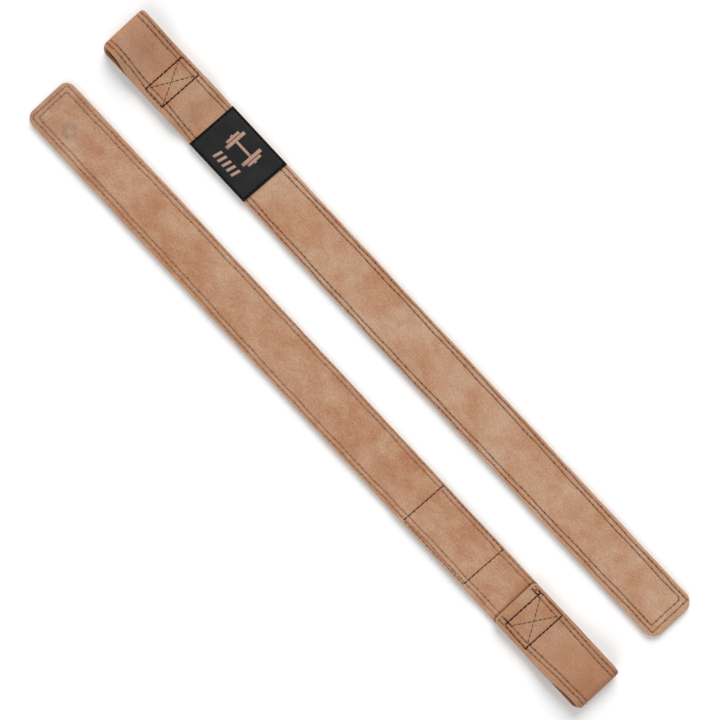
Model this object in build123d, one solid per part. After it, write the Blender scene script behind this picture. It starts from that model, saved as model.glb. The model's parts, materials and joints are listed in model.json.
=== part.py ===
"""A pair of two-ply leather lifting straps, laid flat side by side and pointing opposite ways.

Millimetres, +Z up. X runs along the straps, Y across them, and the straps lie on Z = 0. The origin
is the bottom centre of the pair's box. One end of each strap is folded back and sewn down as a
wrist loop; the other end is a rounded tongue. The front ply carries the label and is the outside
of the loop, the back ply is its inside. Strap A lies front up, strap B lies front down.
"""

from build123d import *
from dataclasses import dataclass
import os

# Driving dimensions of both straps
strap_width = 40.0
laid_length = 563.5
strap_spacing = 71.2
tongue_overshoot = 1.0
ply = 1.6
loop_gap = 6.0
layer_gap = 0.1
tongue_radius = 8.0
flap_radius = 3.5

# Where a strap changes height, as distances along it from the feature named
crown_from_fold = 18.0
sewn_before_box = 4.5
step_after_flap = (4.0, 17.6)
rise_beside_label = (17.0, 5.0)
bend_radius = 40.0
rise_radius = 100.0

# Stitching: each row's thread is a thin strip sunk into a groove in the face it shows on
thread_width = 0.8
thread_depth = 0.3
thread_sink = 0.05
groove_overcut = 0.04
outer_row_inset = 2.6
inner_row_inset = 5.4
box_width = 33.5

# Label and its printed emblem
label_thickness = 0.9
label_row_inset = 1.3
print_depth = 0.12
bar_length = 25.8
bar_thickness = 1.9
barbell_y = 5.0
tick_y = -10.6
tick_size = (2.2, 7.0)
tick_pitch = 4.5
tick_count = 5
tick_lean = 12.0
plate_sizes = {8.2: (2.6, 17.0), 11.0: (2.0, 11.5)}

# The tail flexes about a line in the strap's top face, and its pieces are cut there
flex_after_label = 45.0
flex_clearance = 0.3


@dataclass
class Strap:
    """One strap. Lengths along it are measured from the outside of its fold."""

    name: str
    fold_x: float
    away: int
    centre_y: float
    front_up: bool
    box_start: float
    box_end: float
    flap_end: float
    label_start: float
    label_end: float
    outer_row_end: float
    inner_row_end: float

    def x(self, along):
        return self.fold_x + self.away * along

    @property
    def flex(self):
        return self.label_end + flex_after_label


outer_fold_x = (laid_length - tongue_overshoot) / 2
strap_a = Strap(
    "strap_a", -outer_fold_x, 1, strap_spacing / 2, True,
    box_start=42.7, box_end=59.8, flap_end=67.8,
    label_start=90.9, label_end=146.3, outer_row_end=5.1, inner_row_end=9.1,
)
strap_b = Strap(
    "strap_b", outer_fold_x, -1, -strap_spacing / 2, False,
    box_start=56.2, box_end=77.9, flap_end=85.9,
    label_start=116.3, label_end=179.9, outer_row_end=3.8, inner_row_end=6.7,
)

# Heights of the seam between the plies
floor_z = ply
fold_top_z = floor_z + 2 * ply + loop_gap
sewn_z = 3 * ply + layer_gap
fold_radius = (fold_top_z - floor_z) / 2 - layer_gap


def side_route(strap, flap_trim=0.0):
    """The seam between the plies, seen from the side: flap end, fold, then on to the flex line.

    Returns its corner points as (X, Z) and the bend radius at each inner corner. The front ply is
    on the left of the route all the way.
    """
    arch = [
        (strap.box_start - sewn_before_box, sewn_z, bend_radius),
        (crown_from_fold, fold_top_z, bend_radius),
        (ply, fold_top_z, fold_radius),
    ]
    fold_bottom = (ply, floor_z, fold_radius)
    flap_start = strap.flap_end - flap_trim
    if strap.front_up:
        corners = [(flap_start, floor_z, None), fold_bottom]
        corners += arch[::-1]
        step_start, step_end = step_after_flap
        corners += [
            (strap.flap_end + step_start, sewn_z, bend_radius),
            (strap.flap_end + step_end, floor_z, bend_radius),
        ]
    else:
        rise_start, rise_end = rise_beside_label
        corners = [(flap_start, sewn_z, None)] + arch + [fold_bottom]
        corners += [
            (strap.label_start - rise_start, floor_z, rise_radius),
            (strap.label_start - rise_end, floor_z + label_thickness, rise_radius),
            (strap.label_end + rise_end, floor_z + label_thickness, rise_radius),
            (strap.label_end + rise_start, floor_z, rise_radius),
        ]
    corners.append((strap.flex - flex_clearance / 2, floor_z, None))
    points = [Vector(strap.x(along), z) for along, z, _ in corners]
    return points, [radius for _, _, radius in corners[1:-1]]


def shifted(points, radii, distance):
    """The same route moved sideways by a distance, towards its left when positive."""
    runs = [(end - start).normalized() for start, end in zip(points, points[1:])]
    normals = [Vector(-run.Y, run.X) for run in runs]
    moved = [points[0] + normals[0] * distance]
    new_radii = []
    for corner, radius, before, after in zip(points[1:-1], radii, normals, normals[1:]):
        moved.append(corner + (before + after) * (distance / (1 + before.dot(after))))
        left_turn = before.X * after.Y - before.Y * after.X > 0
        new_radii.append(radius - distance if left_turn else radius + distance)
    moved.append(points[-1] + normals[-1] * distance)
    return FilletPolyline(*moved, radius=new_radii)


def band(strap, near, far, width, y, flap_trim=0.0):
    """A strip of the bent loop end between two distances from the seam, centred on y."""
    points, radii = side_route(strap, flap_trim)
    first = shifted(points, radii, near)
    second = shifted(points, radii, far)
    outline = [first, second, Line(first @ 0, second @ 0), Line(first @ 1, second @ 1)]
    face = make_face([edge for part in outline for edge in part.edges()])
    return Pos(0, strap.centre_y + y, 0) * extrude(Plane.XZ * face, width / 2, both=True)


def flat_block(strap, start, end, z_low, z_high, width, y=0.0):
    """A block between two distances from the fold."""
    middle = Vector(strap.x((start + end) / 2), strap.centre_y + y, (z_low + z_high) / 2)
    return Pos(middle) * Box(end - start, width, z_high - z_low)


def layer(strap, front, base_z):
    """Z range of one ply of a flat stretch whose lowest leather face is at base_z."""
    upper = front == strap.front_up
    low = base_z + (ply if upper else 0.0)
    return low, low + ply


def sunk(face_z, outward, overcut):
    """Z range of a thread strip, or of its groove when overcut, under a face seen from outside."""
    deep = face_z - outward * (thread_sink + thread_depth)
    shallow = face_z - outward * thread_sink
    if overcut:
        shallow = face_z + outward * groove_overcut
    return min(deep, shallow), max(deep, shallow)


def edge_rows(strap, inset, end_inset, front, overcut=False):
    """One row of edge stitching on one face, as its loop-end strips and its tail strip."""
    side = 1 if front else -1
    near = side * (ply - thread_sink - thread_depth)
    far = side * (ply + groove_overcut if overcut else ply - thread_sink)
    row_y = strap_width / 2 - inset
    trim = outer_row_inset
    loop_end = [band(strap, near, far, thread_width, y, trim) for y in (-row_y, row_y)]

    outward = 1 if front == strap.front_up else -1
    face_z = 2 * ply if outward > 0 else 0.0
    low, high = sunk(face_z, outward, overcut)
    start = strap.flex + flex_clearance / 2
    end = laid_length - end_inset
    half = thread_width / 2
    tail = Part()
    for y in (-row_y, row_y):
        tail += flat_block(strap, start, end + half, low, high, thread_width, y)
    tail += flat_block(strap, end - half, end + half, low, high, 2 * row_y)
    return loop_end, tail


def frame_strips(strap, start, end, width, z_range):
    """Stitching round a rectangle, as four joined strips."""
    low, high = z_range
    half = thread_width / 2
    outer = flat_block(strap, start - half, end + half, low, high, width + thread_width)
    inner = flat_block(strap, start + half, end - half, low - 1, high + 1, width - thread_width)
    return outer - inner


def cross_strips(strap, z_range):
    """The X inside the box that holds the loop closed."""
    low, high = z_range
    start, end = strap.box_start, strap.box_end
    reach = Vector(end - start, box_width, 0)
    angle = Vector(1, 0, 0).get_angle(reach)
    middle = Pos(strap.x((start + end) / 2), strap.centre_y, (low + high) / 2)
    strip = Box(reach.length, thread_width, high - low)
    return middle * (Rot(0, 0, angle) * strip + Rot(0, 0, -angle) * strip)


def box_thread(strap, z_range):
    """The box and its X, on one face of the two sewn layers."""
    rectangle = frame_strips(strap, strap.box_start, strap.box_end, box_width, z_range)
    return rectangle + cross_strips(strap, z_range)


def label_thread(strap, z_range):
    """The row round the label, on the label or on the strap's back."""
    start = strap.label_start + label_row_inset
    end = strap.label_end - label_row_inset
    return frame_strips(strap, start, end, strap_width - 2 * label_row_inset, z_range)


def emblem(strap, z_range):
    """A plain barbell over a row of slanted ticks, printed on the label."""
    low, high = z_range
    shapes = Rectangle(bar_length, bar_thickness).moved(Pos(0, barbell_y))
    for offset, (thickness, height) in plate_sizes.items():
        for side in (-1, 1):
            shapes += Pos(side * offset, barbell_y) * Rectangle(thickness, height)
    for number in range(tick_count):
        place = (number - (tick_count - 1) / 2) * tick_pitch
        shapes += Pos(place, tick_y) * Rot(0, 0, -strap.away * tick_lean) * Rectangle(*tick_size)
    centre = strap.x((strap.label_start + strap.label_end) / 2)
    return Pos(centre, strap.centre_y, low) * extrude(shapes, high - low)


def round_end(block, strap, along, radius):
    """Rounds the two plan corners of the end that lies a distance from the fold."""
    end_x = strap.x(along)
    corners = block.edges().filter_by(Axis.Z).filter_by(lambda e: abs(e.center().X - end_x) < 0.01)
    return fillet(corners, radius)


def build_strap(strap):
    """All the pieces of one strap, by name."""
    pieces = {}
    up = 1 if strap.front_up else -1
    label_z = 2 * ply if strap.front_up else 0.0
    label_face_z = label_z + label_thickness if strap.front_up else 0.0
    label_back_z = 0.0 if strap.front_up else label_thickness + 2 * ply
    top_z = sewn_z + ply
    box_faces = {"needle": (top_z if strap.front_up else 0.0, up),
                 "bobbin": (0.0 if strap.front_up else top_z, -up)}

    def box(side, overcut=False):
        return box_thread(strap, sunk(*box_faces[side], overcut))

    row_sizes = {"outer_row": (outer_row_inset, strap.outer_row_end),
                 "inner_row": (inner_row_inset, strap.inner_row_end)}
    grooves = {True: [], False: []}
    tail_grooves = {True: [], False: []}
    for row, (inset, end_inset) in row_sizes.items():
        for front, thread in ((True, "needle"), (False, "bobbin")):
            loop_end, tail = edge_rows(strap, inset, end_inset, front)
            pieces[f"{row}_{thread}_thread_loop_end"] = loop_end
            pieces[f"{row}_{thread}_thread_tail"] = [tail]
            loop_groove, tail_groove = edge_rows(strap, inset, end_inset, front, overcut=True)
            grooves[front] += loop_groove
            tail_grooves[front].append(tail_groove)

    # The box is sewn through both layers, so both of its faces are on the front ply.
    grooves[True] += [box("needle", overcut=True), box("bobbin", overcut=True)]
    label_back = label_thread(strap, sunk(label_back_z, -up, False))
    grooves[False].append(label_thread(strap, sunk(label_back_z, -up, True)))

    for front, name in ((True, "front_ply"), (False, "back_ply")):
        leather = band(strap, 0.0, ply if front else -ply, strap_width, 0.0)
        leather = round_end(leather, strap, strap.flap_end, flap_radius)
        for groove in grooves[front]:
            leather -= groove
        pieces[f"{name}_loop_end"] = [leather]
        start = strap.flex + flex_clearance / 2
        tail = flat_block(strap, start, laid_length, *layer(strap, front, 0.0), strap_width)
        tail = round_end(tail, strap, laid_length, tongue_radius)
        pieces[f"{name}_tail"] = [tail - tail_grooves[front]]

    # Where stitching crosses an edge row, the row runs on and the crossing thread is interrupted.
    front_rows = [s for row in row_sizes for s in pieces[f"{row}_needle_thread_loop_end"]]
    back_rows = [s for row in row_sizes for s in pieces[f"{row}_bobbin_thread_loop_end"]]
    pieces["loop_box_needle_thread"] = [box("needle") - front_rows]
    pieces["loop_box_bobbin_thread"] = [box("bobbin") - front_rows]
    pieces["label_bobbin_thread"] = [label_back - back_rows]

    label_top_z = label_z + label_thickness
    patch = flat_block(strap, strap.label_start, strap.label_end, label_z, label_top_z, strap_width)
    print_z = sorted((label_face_z, label_face_z - up * print_depth))
    pieces["label_emblem"] = [emblem(strap, print_z)]
    border = label_thread(strap, sunk(label_face_z, up, True))
    pieces["label_patch"] = [patch - border - pieces["label_emblem"]]
    pieces["label_needle_thread"] = [label_thread(strap, sunk(label_face_z, up, False))]
    return pieces


def main():
    os.makedirs("parts", exist_ok=True)
    for strap in (strap_a, strap_b):
        for name, shapes in build_strap(strap).items():
            solids = [solid for shape in shapes for solid in shape.solids()]
            shape = solids[0] if len(solids) == 1 else Compound(children=solids)
            export_step(shape, f"parts/{strap.name}_{name}.step")


main()
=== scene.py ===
"""The look of a pair of two-ply suede lifting straps that lie flat side by side.

Everything is laid out in leather coordinates, in millimetres: q runs along the seam between a
strap's plies, 0 at the outside of its fold, negative on the sewn-down flap and positive on the
main run; y is the row frame's Y measured from the strap's centre line; d is the height over the
seam, positive on the front ply's side. Strap.place() turns them into points of the row frame.
"""

import json
import math

import bpy
import numpy as np
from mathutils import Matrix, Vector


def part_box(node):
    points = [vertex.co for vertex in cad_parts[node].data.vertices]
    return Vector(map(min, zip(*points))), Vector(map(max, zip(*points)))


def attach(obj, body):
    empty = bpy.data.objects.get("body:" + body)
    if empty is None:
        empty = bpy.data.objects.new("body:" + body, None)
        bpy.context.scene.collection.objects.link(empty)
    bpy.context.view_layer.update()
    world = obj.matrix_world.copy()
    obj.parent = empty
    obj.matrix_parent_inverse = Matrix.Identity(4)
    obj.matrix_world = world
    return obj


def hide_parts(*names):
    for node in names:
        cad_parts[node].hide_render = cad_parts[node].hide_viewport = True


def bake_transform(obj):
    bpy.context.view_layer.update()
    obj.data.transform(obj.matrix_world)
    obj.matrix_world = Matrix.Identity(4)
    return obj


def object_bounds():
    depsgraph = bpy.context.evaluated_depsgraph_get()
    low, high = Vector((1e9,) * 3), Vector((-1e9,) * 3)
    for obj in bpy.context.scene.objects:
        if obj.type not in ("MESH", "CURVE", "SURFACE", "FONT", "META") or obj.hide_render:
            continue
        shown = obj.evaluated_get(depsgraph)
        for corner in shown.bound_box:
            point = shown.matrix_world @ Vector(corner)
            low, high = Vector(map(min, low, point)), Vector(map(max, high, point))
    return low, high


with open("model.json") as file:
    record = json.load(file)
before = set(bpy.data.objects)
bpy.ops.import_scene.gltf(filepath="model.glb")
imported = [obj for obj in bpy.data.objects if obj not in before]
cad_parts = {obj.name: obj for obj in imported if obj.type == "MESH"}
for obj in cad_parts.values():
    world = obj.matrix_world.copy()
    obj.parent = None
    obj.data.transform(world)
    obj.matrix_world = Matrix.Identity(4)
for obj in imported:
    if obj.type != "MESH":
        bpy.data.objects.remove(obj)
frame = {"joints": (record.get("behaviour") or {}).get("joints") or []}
cad_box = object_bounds()

MM = 0.001

# Leather and stitching that both straps share
PLY = 1.6
EDGE_ROUND = 0.5
CROWN = 0.22
FLAP_RADIUS = 4.0
FLAP_PAST_BOX = 8.0
SEWN_GAP = 0.12
PITCH = 4.0
GROOVE_DEPTH = 0.34
PRESSED_SHARE = 0.72
GROOVE_HALF = 0.45
HOLE_HALF = 0.66
HOLE_DEPTH = 0.25
HOLE_JITTER = 0.05
HOLE_OPEN = 0.66
HOLE_UNEVEN = 0.34
HOLE_CHANGE = 12.9
SEAM_GAP = 0.015
NAP_HEIGHT = 0.05
FRAY = 0.05

# How strongly the painted shade in the sewn rows' grooves and needle holes darkens the leather, and
# how much of that shows on the back ply
SUNK_DARK = 0.17
HOLE_DARK = 1.1
BACK_SHARE = 0.55

# The loops start to close this far from the fold, and are closed this far before the box
CLOSE_FROM = 10.0
CLOSED_BEFORE_BOX = 3.5

# The label, its own rounded edge and its border row
LABEL_PUFF = 0.12
LABEL_ROUND = 0.4
LABEL_ROW_INSET = 1.35
LABEL_ROW_DEPTH = 0.3
LABEL_ROW_PITCH = 3.2
LABEL_THREAD = 0.28
PRINT_HEIGHT = 0.045
PRINT_SINK = 0.03

# Passes of a sewn line, each as (offset, share of the thread's radius, tone, pitch). Tone 0 is the
# thread's full dark, 1 its lightest.
DOUBLE = ((-0.16, 0.95, 0.0, 3.3), (0.18, 0.85, 0.15, 4.1))
THIN = ((-0.08, 0.85, 0.05, 3.6), (0.1, 0.6, 0.4, 4.3))
STRONG = ((0.0, 0.9, 0.0, 2.6),)
SINGLE = ((0.0, 0.75, 0.5, 3.6),)
FINE = ((0.0, 0.72, 0.5, 3.6),)
SIDE = ((0.0, 0.7, 0.9, 3.6),)

# Mesh and path steps
STEP_Q = 0.8
STEP_Y = 0.42
SEAM_STEP = 0.25
PATH_STEP = 0.5
STITCH_RINGS = 9
STITCH_SIDES = 8
PRINT_CELLS = 6

# How bright a white surface is under the scene's light
WHITE_LEVEL = 1.11


def smooth(x):
    x = np.clip(x, 0.0, 1.0)
    return x * x * (3.0 - 2.0 * x)


def ripple(q, seed, lengths=(83.0, 41.0, 17.0), sizes=(0.5, 0.33, 0.17)):
    """A smooth, repeatable wander between -1 and 1 along the leather."""
    rng = np.random.default_rng(seed)
    total = np.zeros_like(np.asarray(q, float))
    for length, size in zip(lengths, sizes):
        total += size * np.sin(2 * math.pi * (q / length + rng.random()))
    return total


def corner(distance, radius):
    """How far a rounded corner cuts in at a distance from the end it rounds."""
    inside = np.clip(radius - distance, 0.0, radius)
    return radius - np.sqrt(np.maximum(radius**2 - inside**2, 0.0))


def box_mm(node):
    low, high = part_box(node)
    return np.array(low) / MM, np.array(high) / MM


class Strap:
    """One strap: its place from the frame, and how its leather and rows wander."""

    def __init__(self, name, look):
        self.name = name
        self.look = look
        self.front_up = look["front_up"]
        self.seed = look["seed"]
        low, high = box_mm(f"{name}_front_ply_loop_end")
        tail_low, tail_high = box_mm(f"{name}_front_ply_tail")
        self.away = 1.0 if tail_high[0] > high[0] else -1.0
        self.fold_x = low[0] if self.away > 0 else high[0]
        self.length = abs((tail_high[0] if self.away > 0 else tail_low[0]) - self.fold_x)
        self.centre_y = (low[1] + high[1]) / 2
        self.half = (high[1] - low[1]) / 2
        self.label = self.stretch(f"{name}_label_patch")
        label_low, label_high = box_mm(f"{name}_label_patch")
        self.label_thickness = label_high[2] - label_low[2]
        box_low, box_high = self.stretch(f"{name}_loop_box_needle_thread")
        self.box = (box_low + 0.4, box_high - 0.4)
        self.flap = self.box[1] + FLAP_PAST_BOX
        joint = next(j for j in frame["joints"] if j["name"] == f"{name}_tail_flex")
        self.flex = abs(joint["pos_m"][0] / MM - self.fold_x)
        self.trace(high[2] - low[2])

    def stretch(self, node):
        """How far from the fold a CAD node starts and ends."""
        low, high = box_mm(node)
        return tuple(sorted((abs(low[0] - self.fold_x), abs(high[0] - self.fold_x))))

    def upper_height(self, along):
        """Height of the seam where the strap is the upper of two layers."""
        sewn = 3 * PLY + SEWN_GAP
        close = smooth((along - CLOSE_FROM) / (self.box[0] - CLOSED_BEFORE_BOX - CLOSE_FROM))
        height = self.fold_top + (sewn - self.fold_top) * close
        if self.front_up:
            height = height - (sewn - PLY) * smooth((along - self.flap - 0.8) / 17.0)
        return height

    def lower_height(self, along):
        """Height of the seam where the strap lies on the surface, over its label if that is below."""
        if self.front_up:
            return np.full_like(along, PLY)
        rise = smooth((along - self.label[0] + 17.0) / 13.0)
        fall = smooth((along - self.label[1] - 4.0) / 13.0)
        return PLY + self.label_thickness * (rise - fall)

    def trace(self, loop_height):
        """Samples the seam from the flap's end round the fold to the tongue."""
        self.fold_top = loop_height - PLY
        self.fold_radius = radius = (self.fold_top - PLY) / 2
        centre = radius + PLY
        flap = np.arange(self.flap, centre, -SEAM_STEP)
        main = np.arange(centre, self.length + SEAM_STEP / 2, SEAM_STEP)
        turn = np.linspace(0.0, math.pi, 48)[1:-1]
        heights = (self.lower_height, self.upper_height)
        flap_z, main_z = (heights if self.front_up else heights[::-1])
        start = -1.0 if self.front_up else 1.0
        along = np.concatenate([flap, centre - radius * np.sin(turn), main])
        z = np.concatenate([flap_z(flap), PLY + radius + start * radius * np.cos(turn), main_z(main)])
        steps = np.hypot(np.diff(along), np.diff(z))
        q = np.concatenate([[0.0], np.cumsum(steps)])
        self.q = q - q[len(flap) + len(turn) // 2]
        self.along, self.z = along, z
        run_x = np.gradient(self.away * along, self.q)
        run_z = np.gradient(z, self.q)
        size = np.hypot(run_x, run_z)
        self.normal_x, self.normal_z = -run_z / size, run_x / size
        self.q_flap, self.q_tongue = self.q[0], self.q[-1]

    def q_at(self, along, main=True):
        """Leather coordinate of a distance from the fold, on the main run or on the flap."""
        part = self.q > 0 if main else self.q < 0
        order = 1 if main else -1
        return np.interp(along, self.along[part][::order], self.q[part][::order])

    def place(self, q, y, d):
        """Points of the row frame, in metres."""
        q, y, d = np.broadcast_arrays(q, y, d)
        nx = np.interp(q, self.q, self.normal_x)
        nz = np.interp(q, self.q, self.normal_z)
        x = self.fold_x + self.away * np.interp(q, self.q, self.along) + d * nx
        z = np.interp(q, self.q, self.z) + d * nz + self.lift(q, y)
        return np.stack([x, self.centre_y + y, z], axis=-1) * MM

    def lift(self, q, y):
        """The leather isn't dead flat: it stands a few tenths of a millimetre off in places."""
        on_main = smooth((q - self.q_at(self.label[1]) - 12.0) / 40.0)
        wave = 0.5 + 0.5 * ripple(q, self.seed + 5, (131.0, 67.0, 37.0))
        tilt = 0.5 + 0.5 * ripple(q + 60.0, self.seed + 6, (173.0, 97.0, 59.0)) * y / self.half
        return on_main * (0.28 * wave + 0.3 * tilt)

    def facing_up(self, q, front):
        """1 where this face of the strap looks up and shows, 0 where it is pressed on something."""
        if front:
            shown = smooth(q / 4.0) if self.front_up else smooth(-q / 4.0)
        elif self.front_up:
            shown = np.zeros_like(q)
        else:
            shown = smooth((q - self.flap - 3.0) / 5.0)
        return shown

    def edges(self, q):
        """Y of the low and high edges. Near the fold the upper layer's low edge is pulled in."""
        upper = q if self.front_up else -q
        pull = self.look["pull"] * smooth((upper + 3.0) / 9.0)
        pull = pull * (1.0 - smooth((upper - 12.0) / self.look["pull_length"]))
        dip = self.look["dip"] * np.exp(-(((upper - self.look["dip_at"]) / 16.0) ** 2))
        low = -self.half + pull + 0.16 * ripple(q, self.seed + 1)
        high = self.half - dip - 0.16 * ripple(q, self.seed + 2)
        turned = np.clip(q / self.fold_radius, -math.pi / 2, math.pi / 2)
        from_fold = (self.fold_radius + PLY) * (1.0 - np.cos(turned))
        fold_radii = self.look["fold_radii"]
        low = low + corner(from_fold, fold_radii[0])
        high = high - corner(from_fold, fold_radii[1])
        ends = ((self.q_tongue - q, self.look["tongue_radius"]), (q - self.q_flap, FLAP_RADIUS))
        for distance, radius in ends:
            low, high = low + corner(distance, radius), high - corner(distance, radius)
        return low, high

    def across(self, q, share):
        """Y at a share of the width, from -1 to 1. The inner two thirds keep their own spacing."""
        low, high = self.edges(q)
        y = share * self.half
        outer = smooth((np.abs(share) - 0.25) / 0.75)
        return np.where(share < 0, y + (low + self.half) * outer, y + (high - self.half) * outer)

    def lean(self, y):
        """How far along the strap the label is set askew at this height across it."""
        return self.look["label_lean"] * y / self.half

    def row_y(self, q, side, inner):
        """Y of an edge row: side is 1 or -1, inner is 0 for the outer row and 1 for the inner."""
        knots = self.look["rows"][side]
        y = np.interp(q, [k[0] for k in knots], [k[1] for k in knots])
        y = y - side * inner * self.look["row_gap"]
        return y + 0.3 * ripple(q, self.seed + 20 + 3 * side + inner, (47.0, 23.0, 11.0))

    def row_paths(self, inner):
        """An edge row as fine (q, y) points, in runs that meet at the tongue's corners."""
        q_end = self.q_tongue - self.look["row_end"][inner]
        cut_low, cut_high = self.look["corner_cuts"][inner]
        q_start = self.q_flap + 2.4
        q_low = np.append(np.arange(q_start, q_end - cut_low, PATH_STEP), q_end - cut_low)
        q_high = np.append(np.arange(q_start, q_end - cut_high, PATH_STEP), q_end - cut_high)
        low, high = self.row_y(q_low, -1, inner), self.row_y(q_high, 1, inner)
        cross_y = np.linspace(low[-1] + cut_low, high[-1] - cut_high, 60)
        cross_q = q_end + 0.15 * ripple(cross_y, self.seed + 30 + inner, (19.0, 9.0, 5.0))
        return [np.stack([q_low, low], axis=1), np.stack([cross_q, cross_y], axis=1),
                np.stack([q_high, high], axis=1)[::-1]]

    def skin(self, q, y, front):
        """Height of a ply's outer face over the seam, without its stitch grooves."""
        share = np.clip(np.abs(y) / self.half, 0.0, 1.0)
        crown = CROWN * (1.0 - share**3) - 0.08
        return PLY + crown * self.facing_up(q, front)


STRAP_A = Strap("strap_a", {
    "front_up": True, "seed": 11, "slant": 0.17, "worn": 0.55,
    "tongue_radius": 8.8, "fold_radii": (4.2, 3.4),
    "pull": 2.6, "pull_length": 19.0, "dip": 0.25, "dip_at": 40.0,
    "row_end": (4.8, 8.8), "row_gap": 3.2, "corner_cuts": ((0.0, 0.0), (0.0, 1.3)),
    "box_ends": {"near": (17.4, -17.0), "far": (17.6, -16.7)}, "box_lean": 0.45,
    "diagonals": [((0.9, 13.6), (-0.7, -16.0)), ((0.9, -13.8), (-0.9, 14.8))],
    "overshoots": [], "label_lean": 0.7, "label_overhang": 0.15,
    "rows": {
        1: [(-70, 17.4), (0, 16.9), (10, 17.5), (45, 17.0), (92, 17.3), (160, 17.7), (264, 18.1),
            (400, 17.9), (473, 17.3), (563, 17.2)],
        -1: [(-70, -17.4), (-8, -17.0), (0, -14.8), (10, -13.7), (25, -14.3), (45, -15.9),
             (68, -16.0), (92, -17.4), (160, -18.0), (230, -18.7), (300, -18.8), (369, -18.0),
             (438, -17.3), (507, -16.6), (563, -16.0)],
    },
})
STRAP_B = Strap("strap_b", {
    "front_up": False, "seed": 47, "slant": 0.1, "worn": 0.8,
    "tongue_radius": 7.0, "fold_radii": (4.2, 3.2),
    "pull": 2.2, "pull_length": 26.0, "dip": 0.8, "dip_at": 38.0,
    "row_end": (3.3, 6.5), "row_gap": 3.25, "corner_cuts": ((1.4, 1.8), (1.2, 1.6)),
    "box_ends": {"near": (17.7, -17.4), "far": (17.7, -15.9)}, "box_lean": -0.3,
    "diagonals": [((1.5, 14.9), (-3.4, -12.8)), ((1.6, -13.5), (-2.4, 14.9))],
    "overshoots": [((-4.6, -13.3), (4.7, -13.2)), ((-0.4, 14.9), (6.2, 15.1)),
                   ((0.0, 17.5), (4.4, 15.9))],
    "label_lean": -0.65, "label_overhang": -0.25,
    "rows": {
        1: [(-85, 17.8), (-55, 17.4), (0, 17.0), (85, 18.4), (124, 18.5), (230, 18.8), (330, 18.9),
            (400, 18.5), (436, 18.1), (471, 17.6), (506, 16.9), (563, 16.6)],
        -1: [(-85, -16.9), (-60, -16.4), (-45, -15.6), (-20, -13.8), (-8, -13.2), (0, -14.2),
             (30, -16.4), (85, -16.6), (160, -16.6), (193, -17.4), (230, -18.0), (298, -18.3),
             (367, -17.7), (402, -17.0), (506, -16.6), (563, -16.3)],
    },
})


# ---------------------------------------------------------------- mesh helpers

def make_piece(name, points, faces, material, attributes):
    """A mesh object from arrays, with its per-point attributes."""
    mesh = bpy.data.meshes.new(name)
    mesh.from_pydata(points.tolist(), [], faces)
    for key, values in attributes.items():
        values = np.asarray(values, np.float32)
        kind, field = ("FLOAT_VECTOR", "vector") if values.ndim == 2 else ("FLOAT", "value")
        layer = mesh.attributes.new(key, kind, "POINT")
        layer.data.foreach_set(field, values.ravel())
    mesh.polygons.foreach_set("use_smooth", [True] * len(mesh.polygons))
    mesh.materials.append(material)
    mesh.validate()
    mesh.update()
    piece = bpy.data.objects.new(name, mesh)
    bpy.context.scene.collection.objects.link(piece)
    return piece


def grid_faces(rows, columns, start=0, flip=False):
    """Quads of a grid whose points are numbered row by row."""
    index = start + np.arange(rows * columns).reshape(rows, columns)
    quads = np.stack([index[:-1, :-1], index[1:, :-1], index[1:, 1:], index[:-1, 1:]], axis=-1)
    quads = quads.reshape(-1, 4)
    return (quads[:, ::-1] if flip else quads).tolist()


def slab_faces(rows, columns, start, flip):
    """Faces of a grid and its underside, numbered after it, with walls round the edge."""
    size = rows * columns
    index = start + np.arange(size).reshape(rows, columns)
    loop = np.concatenate([index[0], index[1:, -1], index[-1, -2::-1], index[-2:0:-1, 0]])
    faces = grid_faces(rows, columns, start, flip)
    faces += grid_faces(rows, columns, start + size, not flip)
    for a, b in zip(loop.tolist(), np.roll(loop, -1).tolist()):
        wall = [a, b, b + size, a + size]
        faces.append(wall[::-1] if flip else wall)
    return faces


def hang(piece, strap, nodes, flexes):
    """Puts a piece on its strap's loop-end body, or only bakes its place if it flexes, and hides the
    CAD nodes it stands in for.
    """
    fixed, tail = f"{strap.name}_loop_end", f"{strap.name}_tail"
    if flexes:
        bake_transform(piece)
        nodes = [f"{node}_{part}" for node in nodes for part in ("loop_end", "tail")]
    else:
        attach(piece, fixed)
    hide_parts(*[f"{strap.name}_{node}" for node in nodes])


# ---------------------------------------------------------------- leather plies

def walk(path, pitch, rng):
    """Needle holes at an uneven pitch along a path of (q, y) points."""
    sewn = np.concatenate([[0.0], np.cumsum(np.hypot(*np.diff(path, axis=0).T))])
    count = max(2, int(round(sewn[-1] / pitch)) + 1)
    stops = np.linspace(0.0, sewn[-1], count)
    stops[1:-1] += rng.normal(0.0, HOLE_JITTER * pitch, count - 2)
    return np.stack([np.interp(stops, sewn, path[:, k]) for k in (0, 1)], axis=1)


def row_holes(strap, inner):
    """The needle holes of an edge row, run by run. Both threads go through the same holes."""
    rng = np.random.default_rng(strap.seed * 10 + inner)
    return [walk(path, PITCH, rng) for path in strap.row_paths(inner)]


def hole_spot(off, at, holes):
    """How near its nearest needle hole each point is. The holes are pulled open unevenly."""
    place = holes[np.clip(np.searchsorted((holes[1:] + holes[:-1]) / 2, at), 0, len(holes) - 1)]
    open_share = HOLE_OPEN + HOLE_UNEVEN * np.sin(place * HOLE_CHANGE)
    return open_share * np.exp(-(np.hypot(off, at - place) / HOLE_HALF) ** 2)


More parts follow.
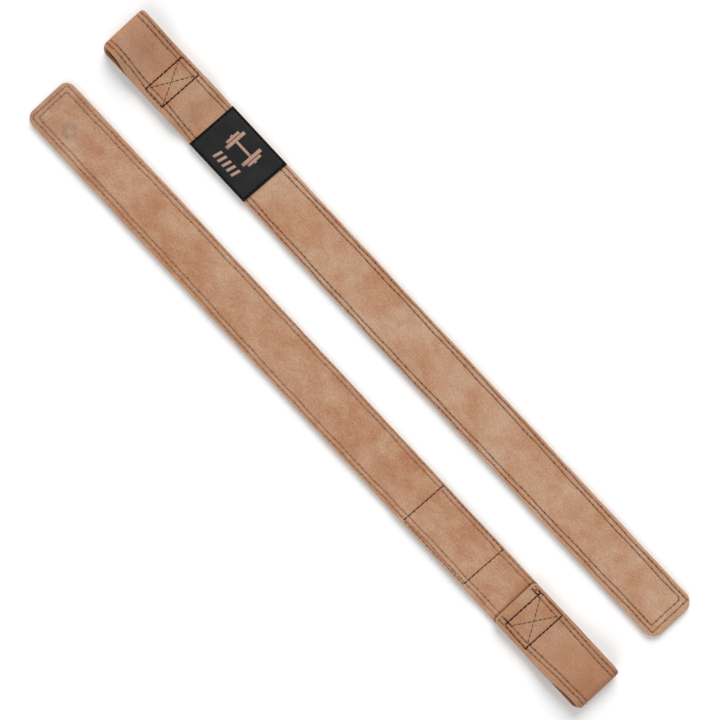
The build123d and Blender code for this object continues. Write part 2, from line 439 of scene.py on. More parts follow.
def groove(strap, q, y):
    """How far each point is sunk by the edge rows, 0 to 1, and how near a needle hole it is."""
    sunk = np.zeros_like(q)
    hole = np.zeros_like(q)
    for inner in (0, 1):
        low_run, cross_run, high_run = row_holes(strap, inner)
        q_end = strap.q_tongue - strap.look["row_end"][inner]
        for side, run in ((-1, low_run[:, 0]), (1, high_run[::-1, 0])):
            off = y - strap.row_y(q, side, inner)
            ends = (1.0 - smooth((q - q_end - 0.2) / 0.8)) * smooth((q - strap.q_flap - 1.6) / 0.8)
            sunk = np.maximum(sunk, ends * np.exp(-((off / GROOVE_HALF) ** 2)))
            hole = np.maximum(hole, ends * hole_spot(off, q, run))
        low = strap.row_y(np.array(q_end), -1, inner)
        high = strap.row_y(np.array(q_end), 1, inner)
        off = q - q_end
        ends = smooth((y - low + 0.4) / 0.8) * smooth((high + 0.4 - y) / 0.8)
        sunk = np.maximum(sunk, ends * np.exp(-((off / GROOVE_HALF) ** 2)))
        hole = np.maximum(hole, ends * hole_spot(off, y, cross_run[:, 1]))
    return sunk, hole


def line_groove(strap, q, y, lines):
    """How far each point is sunk by straight lines of stitching, with their ends given as
    (distance from the fold, y)."""
    along = np.interp(q, strap.q, strap.along)
    sunk = np.zeros_like(q)
    for line in lines:
        (a, ay), (b, by) = line["ends"]
        run = np.array([b - a, by - ay])
        t = np.clip(((along - a) * run[0] + (y - ay) * run[1]) / run.dot(run), 0.0, 1.0)
        off = np.hypot(along - a - t * run[0], y - ay - t * run[1])
        sunk = np.maximum(sunk, line["depth"] * np.exp(-((off / GROOVE_HALF) ** 2)))
    return sunk


def ply_samples(strap):
    """Leather coordinates of the ply grid, closer together at its ends."""
    lead = np.array([0.0, 0.12, 0.3, 0.6, 1.0, 1.5])
    inner = np.arange(2.2, strap.q_tongue - strap.q_flap - 2.1, STEP_Q)
    q = np.concatenate([strap.q_flap + lead, strap.q_flap + inner, strap.q_tongue - lead[::-1]])
    rim = np.array([0.0, 0.12, 0.3, 0.6]) / strap.half
    middle = np.linspace(-1.0 + 1.0 / strap.half, 1.0 - 1.0 / strap.half,
                         int(2 * strap.half / STEP_Y))
    return q, np.concatenate([-1.0 + rim, middle, 1.0 - rim[::-1]])


def edge_drop(strap, q, y, low, high):
    """How far a face falls away where it rounds over into the cut edge."""
    away = np.minimum.reduce([y - low, high - y, strap.q_tongue - q, q - strap.q_flap])
    near = np.clip(1.0 - away / EDGE_ROUND, 0.0, 1.0)
    return EDGE_ROUND * (1.0 - np.sqrt(np.maximum(1.0 - near**2, 0.0)))


def make_ply(strap, front, material):
    """One ply: a detailed outer face, a plain face against the seam, and cut edges between."""
    name = "front_ply" if front else "back_ply"
    side = 1.0 if front else -1.0
    q, share = ply_samples(strap)
    grid_q, grid_share = np.meshgrid(q, share, indexing="ij")
    y = strap.across(grid_q, grid_share)
    low, high = strap.edges(grid_q)
    sunk, hole = groove(strap, grid_q, y)
    if front:
        upper = (grid_q > 0) == strap.front_up
        sunk = np.maximum(sunk, upper * line_groove(strap, grid_q, y, box_lines(strap)))
    else:
        sunk = np.maximum(sunk, (grid_q > 0) * line_groove(strap, grid_q, y, label_lines(strap)))
    nap = NAP_HEIGHT * ripple(grid_q * 3.1 + y * 5.3, strap.seed + 40 + front, (31.0, 13.0, 7.0))
    top = strap.skin(grid_q, y, front) - GROOVE_DEPTH * sunk - HOLE_DEPTH * hole
    top = top + nap * strap.facing_up(grid_q, front) - edge_drop(strap, grid_q, y, low, high)
    fray = FRAY * ripple(grid_q, strap.seed + 50 + front, (9.0, 5.3, 2.9))
    y_top = y + fray * (np.abs(grid_share) > 0.9999) * np.sign(grid_share)
    outer = strap.place(grid_q, y_top, side * top).reshape(-1, 3)
    low_seam = strap.place(q, strap.edges(q)[0], side * SEAM_GAP)
    high_seam = strap.place(q, strap.edges(q)[1], side * SEAM_GAP)
    rows, columns = grid_q.shape
    flipped = (side * strap.away) < 0
    faces = grid_faces(rows, columns, flip=not flipped)
    base = rows * columns
    lows = base + np.arange(rows)
    highs = base + rows + np.arange(rows)
    outer_index = np.arange(base).reshape(rows, columns)
    walls = []
    for i in range(rows - 1):
        walls.append([outer_index[i, 0], outer_index[i + 1, 0], lows[i + 1], lows[i]])
        walls.append([highs[i], highs[i + 1], outer_index[i + 1, -1], outer_index[i, -1]])
        walls.append([lows[i], lows[i + 1], highs[i + 1], highs[i]])
    ends = [[lows[0], highs[0]] + list(outer_index[0, ::-1]),
            [highs[-1], lows[-1]] + list(outer_index[-1])]
    walls = [[int(v) for v in (w[::-1] if not flipped else w)] for w in walls]
    ends = [[int(v) for v in (e[::-1] if not flipped else e)] for e in ends]
    points = np.concatenate([outer, low_seam, high_seam])

    sheet_shift = 3.0 * strap.seed + 400.0 * (0 if front else 1)
    rest = np.stack([grid_q, y, np.full_like(y, sheet_shift)], axis=-1).reshape(-1, 3)
    seam_rest = [np.stack([q, edge, np.full_like(q, sheet_shift + 1.5)], axis=-1)
                 for edge in strap.edges(q)]
    along = np.interp(grid_q, strap.q, strap.along)
    # Painted shadow on strap B's back ply just past the end of the flap that lies on it, and painted
    # shade on the back ply inside each loop, under the upper layer and a little past its edge.
    painted_shade = np.zeros_like(y)
    if not front and not strap.front_up:
        outline = strap.flap - corner(np.minimum(y - low, high - y), FLAP_RADIUS)
        painted_shade = 0.95 * np.exp(-(((along - outline - 0.2) / 0.6) ** 2)) * (grid_q > 0)
    if not front:
        inside = strap.box[0] - 1.0 - along
        upper_low, upper_high = strap.edges(np.abs(grid_q) * (1.0 if strap.front_up else -1.0))
        under = smooth((y - upper_low + 1.3) / 1.3) * smooth((upper_high - 0.2 - y) / 1.3)
        painted_shade = np.maximum(painted_shade, smooth(inside / 6.0) * under)
    # Painted shade: the front ply darkens towards the fold, where the curved leather turns from the
    # light, and the back ply darkens inside the loop up to just past the flap's end.
    if front:
        worn = strap.look["worn"] * np.exp(-((along / 95.0) ** 2))
    else:
        worn = smooth((strap.flap + 3.0 - along) / 6.0)
    # Painted shade in the rows' grooves and needle holes, weaker on the back ply, together with the
    # painted shadow and shade above.
    sewn = (SUNK_DARK * sunk + HOLE_DARK * hole) * (1.0 if front else BACK_SHARE) + painted_shade
    # Painted highlight: the leather lightens towards its cut edges, and fully on the cut walls, to
    # make up for the shade of the rounded edge.
    rim = smooth(1.0 - np.minimum(y - low, high - y) / 1.2).ravel()
    none = np.zeros(2 * rows)
    spot = spots(strap, grid_q, y, front).ravel()
    piece = make_piece(
        f"{strap.name}_{name}", points, faces + walls + ends, material,
        {
            "rest": np.concatenate([rest] + seam_rest) * MM,
            "sewn": np.concatenate([sewn.ravel(), none]),
            "rim": np.concatenate([rim, none + 1.0]),
            "spot": np.concatenate([spot, none]),
            "worn": np.concatenate([worn.ravel(), none]),
        },
    )
    hang(piece, strap, [name], flexes=True)
    return piece


def spots(strap, q, y, front):
    """A faint grey scuff ring near strap B's tongue, on its back."""
    if front or strap.front_up:
        return np.zeros_like(q)
    scuff_along, scuff_y = 535.5, -3.6
    off = np.hypot(q - strap.q_at(scuff_along), (y - scuff_y) * 0.95)
    ring = np.exp(-(((off - 4.2) / 1.7) ** 2))
    end = np.exp(-(((strap.q_tongue - q) / 45.0) ** 2))
    return 0.75 * ring + 0.45 * np.exp(-((off / 5.5) ** 2)) + 0.35 * end


# ---------------------------------------------------------------- stitches

def stitch_run(strap, holes, surface, radius, rng, proud=0.5, tone=0.0, slant=0.1):
    """Stitches between successive holes. surface(q, y) is the height of the face they lie on,
    negative on the back ply's side. Returns points, faces and the thread's attributes."""
    count = len(holes) - 1
    rings, sides = STITCH_RINGS, STITCH_SIDES
    t = np.linspace(0.0, 1.0, rings)
    start, end = holes[:-1], holes[1:]
    run = end - start
    length = np.maximum(np.hypot(run[:, 0], run[:, 1]), 1e-6)
    forward = run / length[:, None]
    sideways = np.stack([-forward[:, 1], forward[:, 0]], axis=1)
    lean = slant * (0.6 + 0.4 * rng.random(count))
    inset = 0.02 * length[:, None]
    reach = inset + t[None] * (length[:, None] - 2 * inset)
    centre = start[:, None] + forward[:, None] * reach[..., None]
    centre = centre + sideways[:, None] * ((t - 0.5)[None] * 2 * lean[:, None])[..., None]
    face = surface(centre[..., 0], centre[..., 1])
    side = np.sign(face)
    pressed = PRESSED_SHARE * radius * (1.0 - strap.facing_up(centre[..., 0], side.ravel()[0] > 0))
    bow = np.sin(math.pi * t) ** 0.45
    sink = radius * 1.9
    height = np.abs(face) - sink + (sink + proud * radius - 0.55 * radius) * bow[None]
    height = height - pressed + rng.normal(0.0, 0.03, count)[:, None]
    size = radius * (0.62 + 0.38 * bow)[None] * (1.0 + 0.06 * rng.normal(size=count))[:, None]
    angle = np.linspace(0.0, 2 * math.pi, sides, endpoint=False)
    across = np.cos(angle)[None, None] * size[..., None] * 1.08
    up = np.sin(angle)[None, None] * size[..., None] * 0.85
    q = centre[..., 0, None] + across * sideways[:, None, None, 0]
    y = centre[..., 1, None] + across * sideways[:, None, None, 1]
    d = side[..., None] * (height[..., None] + up)
    points = strap.place(q, y, d).reshape(-1, 3)

    ring = np.arange(rings * sides).reshape(rings, sides)
    nxt = np.roll(ring, -1, axis=1)
    quads = np.stack([ring[:-1], nxt[:-1], nxt[1:], ring[1:]], axis=-1).reshape(-1, 4)
    caps = [ring[0][::-1].tolist(), ring[-1].tolist()]
    mirror = (side.ravel()[0] * strap.away) < 0
    faces = []
    for number in range(count):
        base = number * rings * sides
        here = quads + base
        faces += (here[:, ::-1] if mirror else here).tolist()
        faces += [[v + base for v in (cap[::-1] if mirror else cap)] for cap in caps]
    twist = np.broadcast_to(t[None, :, None] * length[:, None, None], (count, rings, sides))
    turn = np.broadcast_to(angle[None, None], (count, rings, sides))
    shade = np.broadcast_to(rng.random(count)[:, None, None], (count, rings, sides))
    depth = np.broadcast_to(bow[None, :, None], (count, rings, sides))
    strand = np.stack([twist, turn, shade], axis=-1).reshape(-1, 3)
    tones = np.full(depth.size, tone)
    return points, faces, {"strand": strand, "proud": depth.ravel(), "tone": tones}


def join_runs(runs):
    """Several stitch runs as one mesh."""
    points, faces, attributes = [], [], {}
    total = 0
    for run_points, run_faces, run_attributes in runs:
        points.append(run_points)
        faces += [[v + total for v in face] for face in run_faces]
        for key, values in run_attributes.items():
            attributes.setdefault(key, []).append(values)
        total += len(run_points)
    return np.concatenate(points), faces, {k: np.concatenate(v) for k, v in attributes.items()}


def make_edge_rows(strap, thread_looks):
    """Both threads of both edge rows: needle on the front ply, bobbin on the back ply."""
    for inner, row in enumerate(("outer_row", "inner_row")):
        starts = [0] + [0 if cut else 1 for cut in strap.look["corner_cuts"][inner]]
        for front, thread in ((True, "needle"), (False, "bobbin")):
            rng = np.random.default_rng(strap.seed * 10 + inner * 2 + front + 5)
            side = 1.0 if front else -1.0
            runs = row_holes(strap, inner)
            holes = np.concatenate([run[start:] for run, start in zip(runs, starts)])

            def surface(q, y, front=front, side=side):
                return side * (strap.skin(q, y, front) - 0.1)

            material, slot, radius = thread_looks[thread]
            points, faces, attributes = stitch_run(
                strap, holes, surface, radius, rng, slant=strap.look["slant"])
            name = f"{row}_{thread}_thread"
            piece = make_piece(f"{strap.name}_{name}", points, faces, material, attributes)
            hang(piece, strap, [name], flexes=True)


def box_lines(strap):
    """The box and cross that close the loop, with their ends as (distance from the fold, y)."""
    near, far = strap.box
    lean = strap.look["box_lean"]
    ends = strap.look["box_ends"]
    (near_high, near_low), (far_high, far_low) = ends["near"], ends["far"]
    across = [((near + lean, near_high), (near - lean, near_low)),
              ((far + lean, far_high), (far - lean, far_low))]
    sides = [((near, near_high), (far, far_high)), ((near, near_low + 0.3), (far, far_low - 0.1))]
    crosses = [((near + a, ay), (far + b, by)) for (a, ay), (b, by) in strap.look["diagonals"]]
    loose = [((far + a, ay), (far + b, by)) for (a, ay), (b, by) in strap.look["overshoots"]]
    lines = [{"ends": line, "depth": 1.0, "passes": DOUBLE} for line in across]
    lines += [{"ends": line, "depth": 0.5, "passes": SINGLE} for line in sides]
    lines += [{"ends": line, "depth": 0.35, "passes": FINE} for line in crosses]
    return lines + [{"ends": line, "depth": 0.5, "passes": STRONG} for line in loose]


def label_lines(strap):
    """The row round the label as it shows on the strap's back."""
    start, end = strap.label[0] + LABEL_ROW_INSET, strap.label[1] - LABEL_ROW_INSET
    high, low = strap.half - 0.7, -strap.half + 1.9
    across = [tuple((along + strap.lean(y), y) for y in (high, low)) for along in (start, end)]
    sides = [((start, y), (end, y)) for y in (strap.half - 1.4, low)]
    lines = [{"ends": line, "depth": 0.8, "passes": THIN} for line in across]
    return lines + [{"ends": line, "depth": 0.6, "passes": SIDE} for line in sides]


def straight(a, b):
    """Points at an even step on a straight line."""
    count = max(2, int(np.hypot(b[0] - a[0], b[1] - a[1]) / PATH_STEP))
    return np.linspace(a, b, count)


def sew_lines(strap, lines, main, surface, radius, rng):
    """Stitches along straight lines; each pass is (offset, share of the radius, tone, pitch)."""
    runs = []
    for line in lines:
        path = straight(*line["ends"])
        path[:, 0] = strap.q_at(path[:, 0], main)
        run = path[-1] - path[0]
        normal = np.array([-run[1], run[0]]) / np.hypot(*run)
        for offset, share, tone, pitch in line["passes"]:
            holes = walk(path + offset * normal, pitch, rng)
            runs.append(stitch_run(strap, holes, surface, radius * share, rng, 0.9, tone))
    return join_runs(runs)


def make_box_stitching(strap, looks):
    """Box-and-cross stitching on its two faces, both on the front ply."""
    material, slot, radius = looks["box"]

    def surface(q, y):
        return strap.skin(q, y, True) + 0.02

    for thread, main in (("needle", strap.front_up), ("bobbin", not strap.front_up)):
        rng = np.random.default_rng(strap.seed * 7 + main)
        lines = box_lines(strap)
        points, faces, attributes = sew_lines(strap, lines, main, surface, radius, rng)
        name = f"loop_box_{thread}_thread"
        piece = make_piece(f"{strap.name}_{name}", points, faces, material, attributes)
        hang(piece, strap, [name], flexes=False)


# ---------------------------------------------------------------- label

def label_grid(strap):
    """Leather coordinates of the label, closer together at its edges."""
    rim = np.array([0.0, 0.1, 0.25, 0.45, 0.8])
    start, end = strap.q_at(strap.label[0]), strap.q_at(strap.label[1])
    q = np.concatenate([start + rim, np.arange(start + 1.2, end - 1.1, 0.5), end - rim[::-1]])
    half = strap.half + strap.look["label_overhang"]
    y = np.concatenate([-half + rim, np.arange(-half + 1.2, half - 1.1, 0.5), half - rim[::-1]])
    q, y = np.meshgrid(q, y, indexing="ij")
    return q + strap.lean(y), y


def label_top(strap, q, y, with_row=True):
    """Height of the label's face over the seam, and how far inside the label's edge it is."""
    start, end = strap.q_at(strap.label[0]), strap.q_at(strap.label[1])
    half = strap.half + strap.look["label_overhang"]
    upright = q - strap.lean(y)
    away = np.minimum.reduce([upright - start, end - upright, y + half, half - y])
    body = strap.skin(q, y, True) + strap.label_thickness
    if not strap.front_up:
        body = np.full_like(q, PLY + strap.label_thickness)
    puff = LABEL_PUFF * smooth((away - LABEL_ROW_INSET) / 3.0) * (1.0 if strap.front_up else 0.0)
    near = np.clip(1.0 - away / LABEL_ROUND, 0.0, 1.0)
    drop = LABEL_ROUND * (1.0 - np.sqrt(np.maximum(1.0 - near**2, 0.0)))
    row = LABEL_ROW_DEPTH * np.exp(-(((away - LABEL_ROW_INSET) / 0.5) ** 2)) if with_row else 0.0
    return body + puff - drop - row, away


def make_label(strap, materials):
    """The patch: a soft slab with a sewn border."""
    q, y = label_grid(strap)
    top, away = label_top(strap, q, y)
    rows, columns = q.shape
    outer = strap.place(q, y, top).reshape(-1, 3)
    under = strap.place(q, y, strap.skin(q, y, True) + 0.01).reshape(-1, 3)
    faces = slab_faces(rows, columns, 0, flip=strap.away >= 0)
    rest = np.stack([q, y, np.full_like(q, strap.seed)], axis=-1).reshape(-1, 3)
    rim = smooth(1.0 - (away - 0.6) / 1.7).ravel()
    row = np.exp(-(((away - LABEL_ROW_INSET) / 0.45) ** 2)).ravel()
    piece = make_piece(
        f"{strap.name}_label_patch", np.concatenate([outer, under]), faces,
        materials["label"],
        {"rest": np.concatenate([rest, rest]) * MM, "rim": np.tile(rim, 2), "sewn": np.tile(row, 2)},
    )
    hang(piece, strap, ["label_patch"], flexes=False)


def label_border(strap):
    """The label's border row as fine (q, y) points."""
    start = strap.q_at(strap.label[0]) + LABEL_ROW_INSET
    end = strap.q_at(strap.label[1]) - LABEL_ROW_INSET
    edge = strap.half + strap.look["label_overhang"] - LABEL_ROW_INSET
    corners = [(start, -edge), (end, -edge), (end, edge), (start, edge), (start, -edge)]
    path = np.concatenate([straight(a, b)[:-1] for a, b in zip(corners, corners[1:])])
    path[:, 0] += strap.lean(path[:, 1])
    return path


def make_label_stitching(strap, materials, looks):
    """Border stitching of the label: needle thread on it, bobbin thread on the strap's back."""
    rng = np.random.default_rng(strap.seed * 13)

    def on_label(q, y):
        return label_top(strap, q, y, with_row=False)[0] - 0.12

    holes = walk(label_border(strap), LABEL_ROW_PITCH, rng)
    points, faces, attributes = stitch_run(strap, holes, on_label, LABEL_THREAD, rng)
    piece = make_piece(f"{strap.name}_label_needle_thread", points, faces,
                       materials["label_thread"], attributes)
    hang(piece, strap, ["label_needle_thread"], flexes=False)

    def on_back(q, y):
        return -strap.skin(q, y, False)

    material, slot, radius = looks["box"]
    lines = label_lines(strap)
    points, faces, attributes = sew_lines(strap, lines, True, on_back, radius, rng)
    piece = make_piece(f"{strap.name}_label_bobbin_thread", points, faces, material, attributes)
    hang(piece, strap, ["label_bobbin_thread"], flexes=False)


def emblem_shapes():
    """A plain barbell over a row of slanted ticks, as quads of (u, v) corners in millimetres."""
    def plate(u, v, width, height, lean=0.0):
        slant = math.tan(math.radians(lean)) * height / 2
        return [(u - width / 2 - slant, v - height / 2), (u + width / 2 - slant, v - height / 2),
                (u + width / 2 + slant, v + height / 2), (u - width / 2 + slant, v + height / 2)]

    shapes = [plate(0.0, 5.0, 13.8, 1.9)]
    for side in (-1, 1):
        shapes.append(plate(side * 8.2, 5.0, 2.6, 17.0))
        shapes.append(plate(side * 11.0, 5.0, 2.0, 11.5))
        shapes.append(plate(side * 12.45, 5.0, 0.9, 1.9))
    for number in range(5):
        shapes.append(plate((number - 2) * 4.5, -10.6, 2.2, 7.0, lean=12.0))
    return shapes


def make_emblem(strap, material):
    """The print: thin panels that follow the label's face."""
    centre = (strap.label[0] + strap.label[1]) / 2
    points, faces, rests = [], [], []
    cells = PRINT_CELLS
    for corners in emblem_shapes():
        a, b, c, e = (np.array(corner) for corner in corners)
        s, t = np.meshgrid(np.linspace(0, 1, cells), np.linspace(0, 1, cells), indexing="ij")
        s, t = s[..., None], t[..., None]
        flat = (a * (1 - s) + b * s) * (1 - t) + (e * (1 - s) + c * s) * t
        y = flat[..., 1]
        q = strap.q_at(centre + strap.away * flat[..., 0]) + strap.lean(y)
        face = label_top(strap, q, y, with_row=False)[0]
        base = sum(len(p) for p in points)
        top = strap.place(q, y, face + PRINT_HEIGHT).reshape(-1, 3)
        under = strap.place(q, y, face - PRINT_SINK).reshape(-1, 3)
        faces += slab_faces(cells, cells, base, flip=not strap.front_up)
        points += [top, under]
        rests += [np.stack([q, y, np.zeros_like(q)], axis=-1).reshape(-1, 3)] * 2
    piece = make_piece(f"{strap.name}_label_emblem", np.concatenate(points), faces, material,
                       {"rest": np.concatenate(rests) * MM})
    hang(piece, strap, ["label_emblem"], flexes=False)


# ---------------------------------------------------------------- materials

def seen(red, green, blue):
    """The surface colour that shows as this display colour (0 to 255) under the scene's light."""
    values = [c / 255 for c in (red, green, blue)]
    linear = [c / 12.92 if c <= 0.04045 else ((c + 0.055) / 1.055) ** 2.4 for c in values]
    return tuple(c / WHITE_LEVEL for c in linear)


class Nodes:
    """One material's node tree, with short calls to add to it."""

    def __init__(self, name):
        self.material = bpy.data.materials.new(name)
        self.material.use_nodes = True
        self.tree = self.material.node_tree
        self.shader = self.tree.nodes["Principled BSDF"]

    def add(self, kind, settings=None, **inputs):
        node = self.tree.nodes.new(kind)
        for key, value in (settings or {}).items():
            setattr(node, key, value)
        for key, value in inputs.items():
            self.put(node, key.replace("_", " "), value)
        return node

    def put(self, node, key, value):
        """Sets or links an input, by its name or, as in0, in1 and so on, by its number."""
        numbered = key.startswith("in") and key[2:].isdigit()
        socket = node.inputs[int(key[2:]) if numbered else key]
        if isinstance(value, bpy.types.NodeSocket):
            self.tree.links.new(value, socket)
        else:
            socket.default_value = value

    def read(self, name, vector=False):
        node = self.add("ShaderNodeAttribute", {"attribute_name": name})
        return node.outputs["Vector" if vector else "Fac"]

    def noise(self, where, scale, detail=2.0, roughness=0.5, distortion=0.0):
        node = self.add("ShaderNodeTexNoise", None, Vector=where, Scale=scale, Detail=detail,
                        Roughness=roughness, Distortion=distortion)
        return node.outputs["Fac"]

    def stretched(self, where, scale, rotation=(0.0, 0.0, 0.0)):
        node = self.add("ShaderNodeMapping", None, Vector=where, Scale=scale, Rotation=rotation)
        return node.outputs["Vector"]

    def spread(self, value, low, high, to_low=0.0, to_high=1.0):
        node = self.add("ShaderNodeMapRange", {"clamp": True, "interpolation_type": "SMOOTHSTEP"},
                        in0=value, in1=low, in2=high, in3=to_low, in4=to_high)
        return node.outputs[0]

    def math(self, operation, first, second):
        node = self.add("ShaderNodeMath", {"operation": operation}, in0=first, in1=second)
        return node.outputs[0]

    def mix(self, share, first, second, blend="MIX"):
        node = self.add("ShaderNodeMix", {"data_type": "RGBA", "blend_type": blend})
        for index, value in ((0, share), (6, first), (7, second)):
            if isinstance(value, bpy.types.NodeSocket):
                self.tree.links.new(value, node.inputs[index])
            else:
                node.inputs[index].default_value = value if index == 0 else (*value, 1.0)
        return node.outputs[2]

    def bump(self, height, strength, distance, normal=None):
        node = self.add("ShaderNodeBump", None, Height=height, Strength=strength, Distance=distance)
        if normal is not None:
            self.tree.links.new(normal, node.inputs["Normal"])
        return node.outputs["Normal"]

    def finish(self, colour, roughness, normal, **fixed):
        self.put(self.shader, "Base Color", colour)
        self.put(self.shader, "Roughness", roughness)
        self.put(self.shader, "Normal", normal)
        for key, value in fixed.items():
            self.put(self.shader, key.replace("_", " "), value)
        return self.material


def leather(name, light, dark, blush, seam):
    """Napped suede: soft clouds of colour, mottled grain, painted shade along the sewn rows, at the
    flap's end, near the folds and inside the loops, and a painted highlight along the cut edges.
    """
    n = Nodes(name)
    rest = n.read("rest", vector=True)
    clouds = n.noise(rest, 30.0, 2.0, 0.5, 0.3)
    patches = n.noise(n.stretched(rest, (1.0, 1.25, 1.0), (0.0, 0.0, 0.6)), 80.0, 3.0, 0.55, 0.4)
    streaks = n.noise(n.stretched(rest, (0.35, 1.5, 1.0), (0.0, 0.0, 0.75)), 330.0, 3.0, 0.6)
    mottle = n.noise(rest, 760.0, 6.0, 0.74)
    flecks = n.noise(n.stretched(rest, (1.0, 1.0, 1.0), (0.3, 0.2, 1.1)), 260.0, 6.0, 0.75)
    fibre = n.noise(n.stretched(rest, (1.0, 2.6, 1.0), (0.0, 0.0, 0.5)), 3000.0, 3.0, 0.7)
    colour = n.mix(n.spread(clouds, 0.32, 0.68), dark, light)
    colour = n.mix(0.5, colour, n.mix(n.spread(patches, 0.32, 0.68), dark, light))
    colour = n.mix(n.spread(flecks, 0.4, 0.7, 0.0, 0.5), colour, blush)
    colour = n.mix(n.spread(streaks, 0.5, 0.8, 0.0, 0.3), colour, light)
    speckle = n.mix(n.spread(mottle, 0.3, 0.7), (0.82, 0.79, 0.77), (1.16, 1.18, 1.2))
    colour = n.mix(1.0, colour, speckle, "MULTIPLY")
    nap = n.mix(n.spread(fibre, 0.3, 0.7), (0.8, 0.785, 0.77), (1.19, 1.205, 1.22))
    colour = n.mix(1.0, colour, nap, "MULTIPLY")
    # Painted highlight along the cut edges.
    colour = n.mix(n.math("MULTIPLY", n.read("rim"), 0.75), colour, tuple(c * 1.1 for c in light))
    # Painted shade near the folds and inside the loops.
    colour = n.mix(n.math("MULTIPLY", n.read("worn"), 0.65), colour, seen(160, 104, 70))
    # Painted shade in the sewn rows' grooves and needle holes, at the flap's end and inside the
    # loops.
    colour = n.mix(n.math("MULTIPLY", n.read("sewn"), 0.9), colour, seam)
    colour = n.mix(n.math("MULTIPLY", n.read("spot"), 0.3), colour, seen(118, 104, 94))
    height = n.math("ADD", n.math("MULTIPLY", mottle, 0.7), n.math("MULTIPLY", fibre, 0.3))
    normal = n.bump(height, 0.8, 0.0003)
    rough = n.spread(fibre, 0.3, 0.7, 0.82, 0.95)
    return n.finish(colour, rough, normal, Sheen_Weight=0.15, Sheen_Roughness=0.45,
                    Sheen_Tint=(*light, 1.0), Specular_IOR_Level=0.1)


def thread(name, dark, light, hole):
    """Twisted thread, darkest where it goes into its holes, with painted shade there and between its
    plies.
    """
    n = Nodes(name)
    strand = n.add("ShaderNodeSeparateXYZ", None, Vector=n.read("strand", vector=True))
    along, turn, chance = (strand.outputs[k] for k in (0, 1, 2))
    phase = n.math("ADD", n.math("MULTIPLY", along, 5.2), n.math("MULTIPLY", turn, 3.0))
    plies = n.math("ADD", n.math("MULTIPLY", n.math("SINE", phase, 0.0), 0.5), 0.5)
    tone = n.math("ADD", n.read("tone"), n.math("MULTIPLY", n.math("SUBTRACT", chance, 0.5), 0.5))
    colour = n.mix(n.spread(tone, 0.0, 1.0), dark, light)
    # Painted shade in the grooves between the thread's plies and where each stitch dips into its
    # holes.
    colour = n.mix(n.spread(plies, 0.6, 0.0, 0.0, 0.35), colour, hole)
    colour = n.mix(n.spread(n.read("proud"), 0.86, 0.45), colour, hole)
    normal = n.bump(plies, 0.6, 0.00012)
    rough = n.spread(plies, 0.0, 1.0, 0.8, 0.6)
    return n.finish(colour, rough, normal, Specular_IOR_Level=0.04)


def label_skin(name):
    """Soft black synthetic leather with a pebbled face and a darker pressed border."""
    n = Nodes(name)
    rest = n.read("rest", vector=True)
    pebbles = n.add("ShaderNodeTexVoronoi", {"feature": "SMOOTH_F1"}, Vector=rest, Scale=1500.0,
                    Smoothness=0.6).outputs["Distance"]
    dust = n.noise(rest, 60.0, 4.0, 0.6)
    fine = n.noise(rest, 2600.0, 2.0, 0.6)
    colour = n.mix(n.spread(dust, 0.3, 0.75), seen(27, 28, 29), seen(39, 39, 40))
    colour = n.mix(n.spread(fine, 0.5, 0.8, 0.0, 0.3), colour, seen(56, 56, 56))
    colour = n.mix(n.math("MULTIPLY", n.read("rim"), 0.9), colour, seen(8, 8, 8))
    colour = n.mix(n.math("MULTIPLY", n.read("sewn"), 0.8), colour, seen(4, 4, 4))
    normal = n.bump(pebbles, 0.35, 0.00012)
    normal = n.bump(fine, 0.2, 0.00006, normal)
    rough = n.spread(dust, 0.3, 0.7, 0.5, 0.62)
    return n.finish(colour, rough, normal, Specular_IOR_Level=0.18)


def printed(name):
    """Flat tan print, with a little wear."""
    n = Nodes(name)
    rest = n.read("rest", vector=True)
    wear = n.noise(rest, 900.0, 4.0, 0.65)
    colour = n.mix(n.spread(wear, 0.58, 0.8, 0.0, 0.45), seen(180, 144, 124), seen(120, 92, 76))
    normal = n.bump(wear, 0.3, 0.00008)
    return n.finish(colour, n.spread(wear, 0.3, 0.7, 0.55, 0.75), normal)


def floor_material():
    n = Nodes("floor")
    speck = n.noise(n.add("ShaderNodeTexCoord").outputs["Object"], 40.0, 2.0)
    colour = n.mix(speck, (0.98, 0.98, 0.98), (0.99, 0.99, 0.99))
    return n.finish(colour, 1.0, n.bump(speck, 0.01, 0.0001), Specular_IOR_Level=0.0)


# ---------------------------------------------------------------- the straps


def make_strap(strap, materials):
    looks = {
        "needle": (materials["needle_thread"], "needle_thread", 0.33 if strap.front_up else 0.3),
        "bobbin": (materials["bobbin_thread"], "bobbin_thread", 0.27),
        "box": (materials["box_thread"], "box_thread", 0.34),
    }
    front = make_ply(strap, True, materials["front_leather"])
    back = make_ply(strap, False, materials["back_leather"])
    make_edge_rows(strap, looks)
    make_box_stitching(strap, looks)
    make_label(strap, materials)
    make_label_stitching(strap, materials, looks)
    make_emblem(strap, materials["emblem_print"])


# ---------------------------------------------------------------- floor, light and camera

def make_floor(material):
    half = 12.0
    mesh = bpy.data.meshes.new("floor")
    mesh.from_pydata([(-half, -half, 0), (half, -half, 0), (half, half, 0), (-half, half, 0)],
                     [], [(0, 1, 2, 3)])
    mesh.materials.append(material)
    floor = bpy.data.objects.new("floor", mesh)
    floor.location.z = -0.0001
    bpy.context.scene.collection.objects.link(floor)


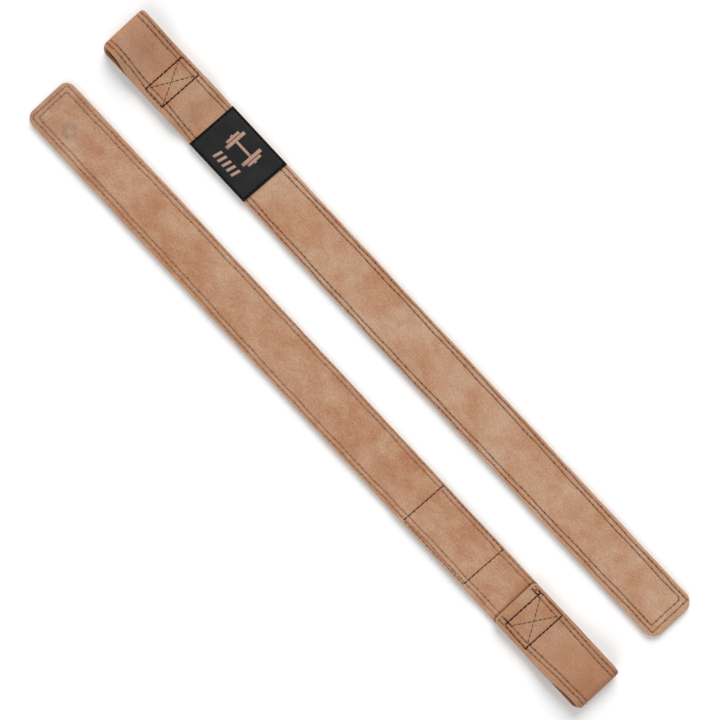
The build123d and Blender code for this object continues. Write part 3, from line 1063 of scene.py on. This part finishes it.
def make_light(name, place, spread, strength):
    """A large, far, soft light that shines from a place towards the middle."""
    light = bpy.data.lights.new(name, "SUN")
    light.angle, light.energy = math.radians(spread), strength
    lamp = bpy.data.objects.new(name, light)
    lamp.location = place
    lamp.rotation_euler = lamp.location.to_track_quat("Z", "Y").to_euler()
    bpy.context.scene.collection.objects.link(lamp)


def make_world(strength):
    world = bpy.data.worlds.new("studio")
    world.use_nodes = True
    background = world.node_tree.nodes["Background"]
    background.inputs["Color"].default_value = (1.0, 1.0, 1.0, 1.0)
    background.inputs["Strength"].default_value = strength
    bpy.context.scene.world = world


def make_camera():
    """Straight above the pair, turned so that the straps run down to the right."""
    lens, sensor, field, turn = 85.0, 36.0, 0.501, 47.05
    low, high = cad_box
    centre = [(a + b) / 2 for a, b in zip(low, high)]
    camera = bpy.data.cameras.new("camera")
    camera.lens, camera.sensor_width = lens, sensor
    view = bpy.data.objects.new("camera", camera)
    view.location = (centre[0], centre[1], 0.003 + field * lens / sensor)
    view.rotation_euler = (0.0, 0.0, math.radians(turn))
    bpy.context.scene.collection.objects.link(view)
    bpy.context.scene.camera = view


# In each leather, the last colour is the painted shade of the sewn rows, the flap's end and the
# loops.
materials = {
    "front_leather": leather("front_leather", seen(204, 172, 144), seen(187, 136, 102),
                             seen(200, 148, 122), seen(90, 52, 36)),
    "back_leather": leather("back_leather", seen(203, 167, 138), seen(181, 127, 93),
                            seen(196, 142, 114), seen(84, 46, 30)),
    "needle_thread": thread("needle_thread", seen(158, 108, 81), seen(200, 152, 124),
                            seen(44, 22, 14)),
    "bobbin_thread": thread("bobbin_thread", seen(174, 126, 98), seen(206, 158, 130),
                            seen(104, 64, 44)),
    "box_thread": thread("box_thread", seen(52, 28, 20), seen(140, 94, 70), seen(22, 11, 8)),
    "label": label_skin("label"),
    "label_thread": thread("label_thread", seen(10, 10, 10), seen(24, 24, 24), seen(3, 3, 3)),
    "emblem_print": printed("emblem_print"),
}
for strap in (STRAP_A, STRAP_B):
    make_strap(strap, materials)

make_floor(floor_material())
make_world(0.48)
make_light("key", (-2.1, 2.5, 2.4), 38.0, 2.36)
make_light("fill", (1.6, -2.6, 2.8), 38.0, 0.65)
make_camera()
bpy.context.scene.view_settings.view_transform = "Standard"
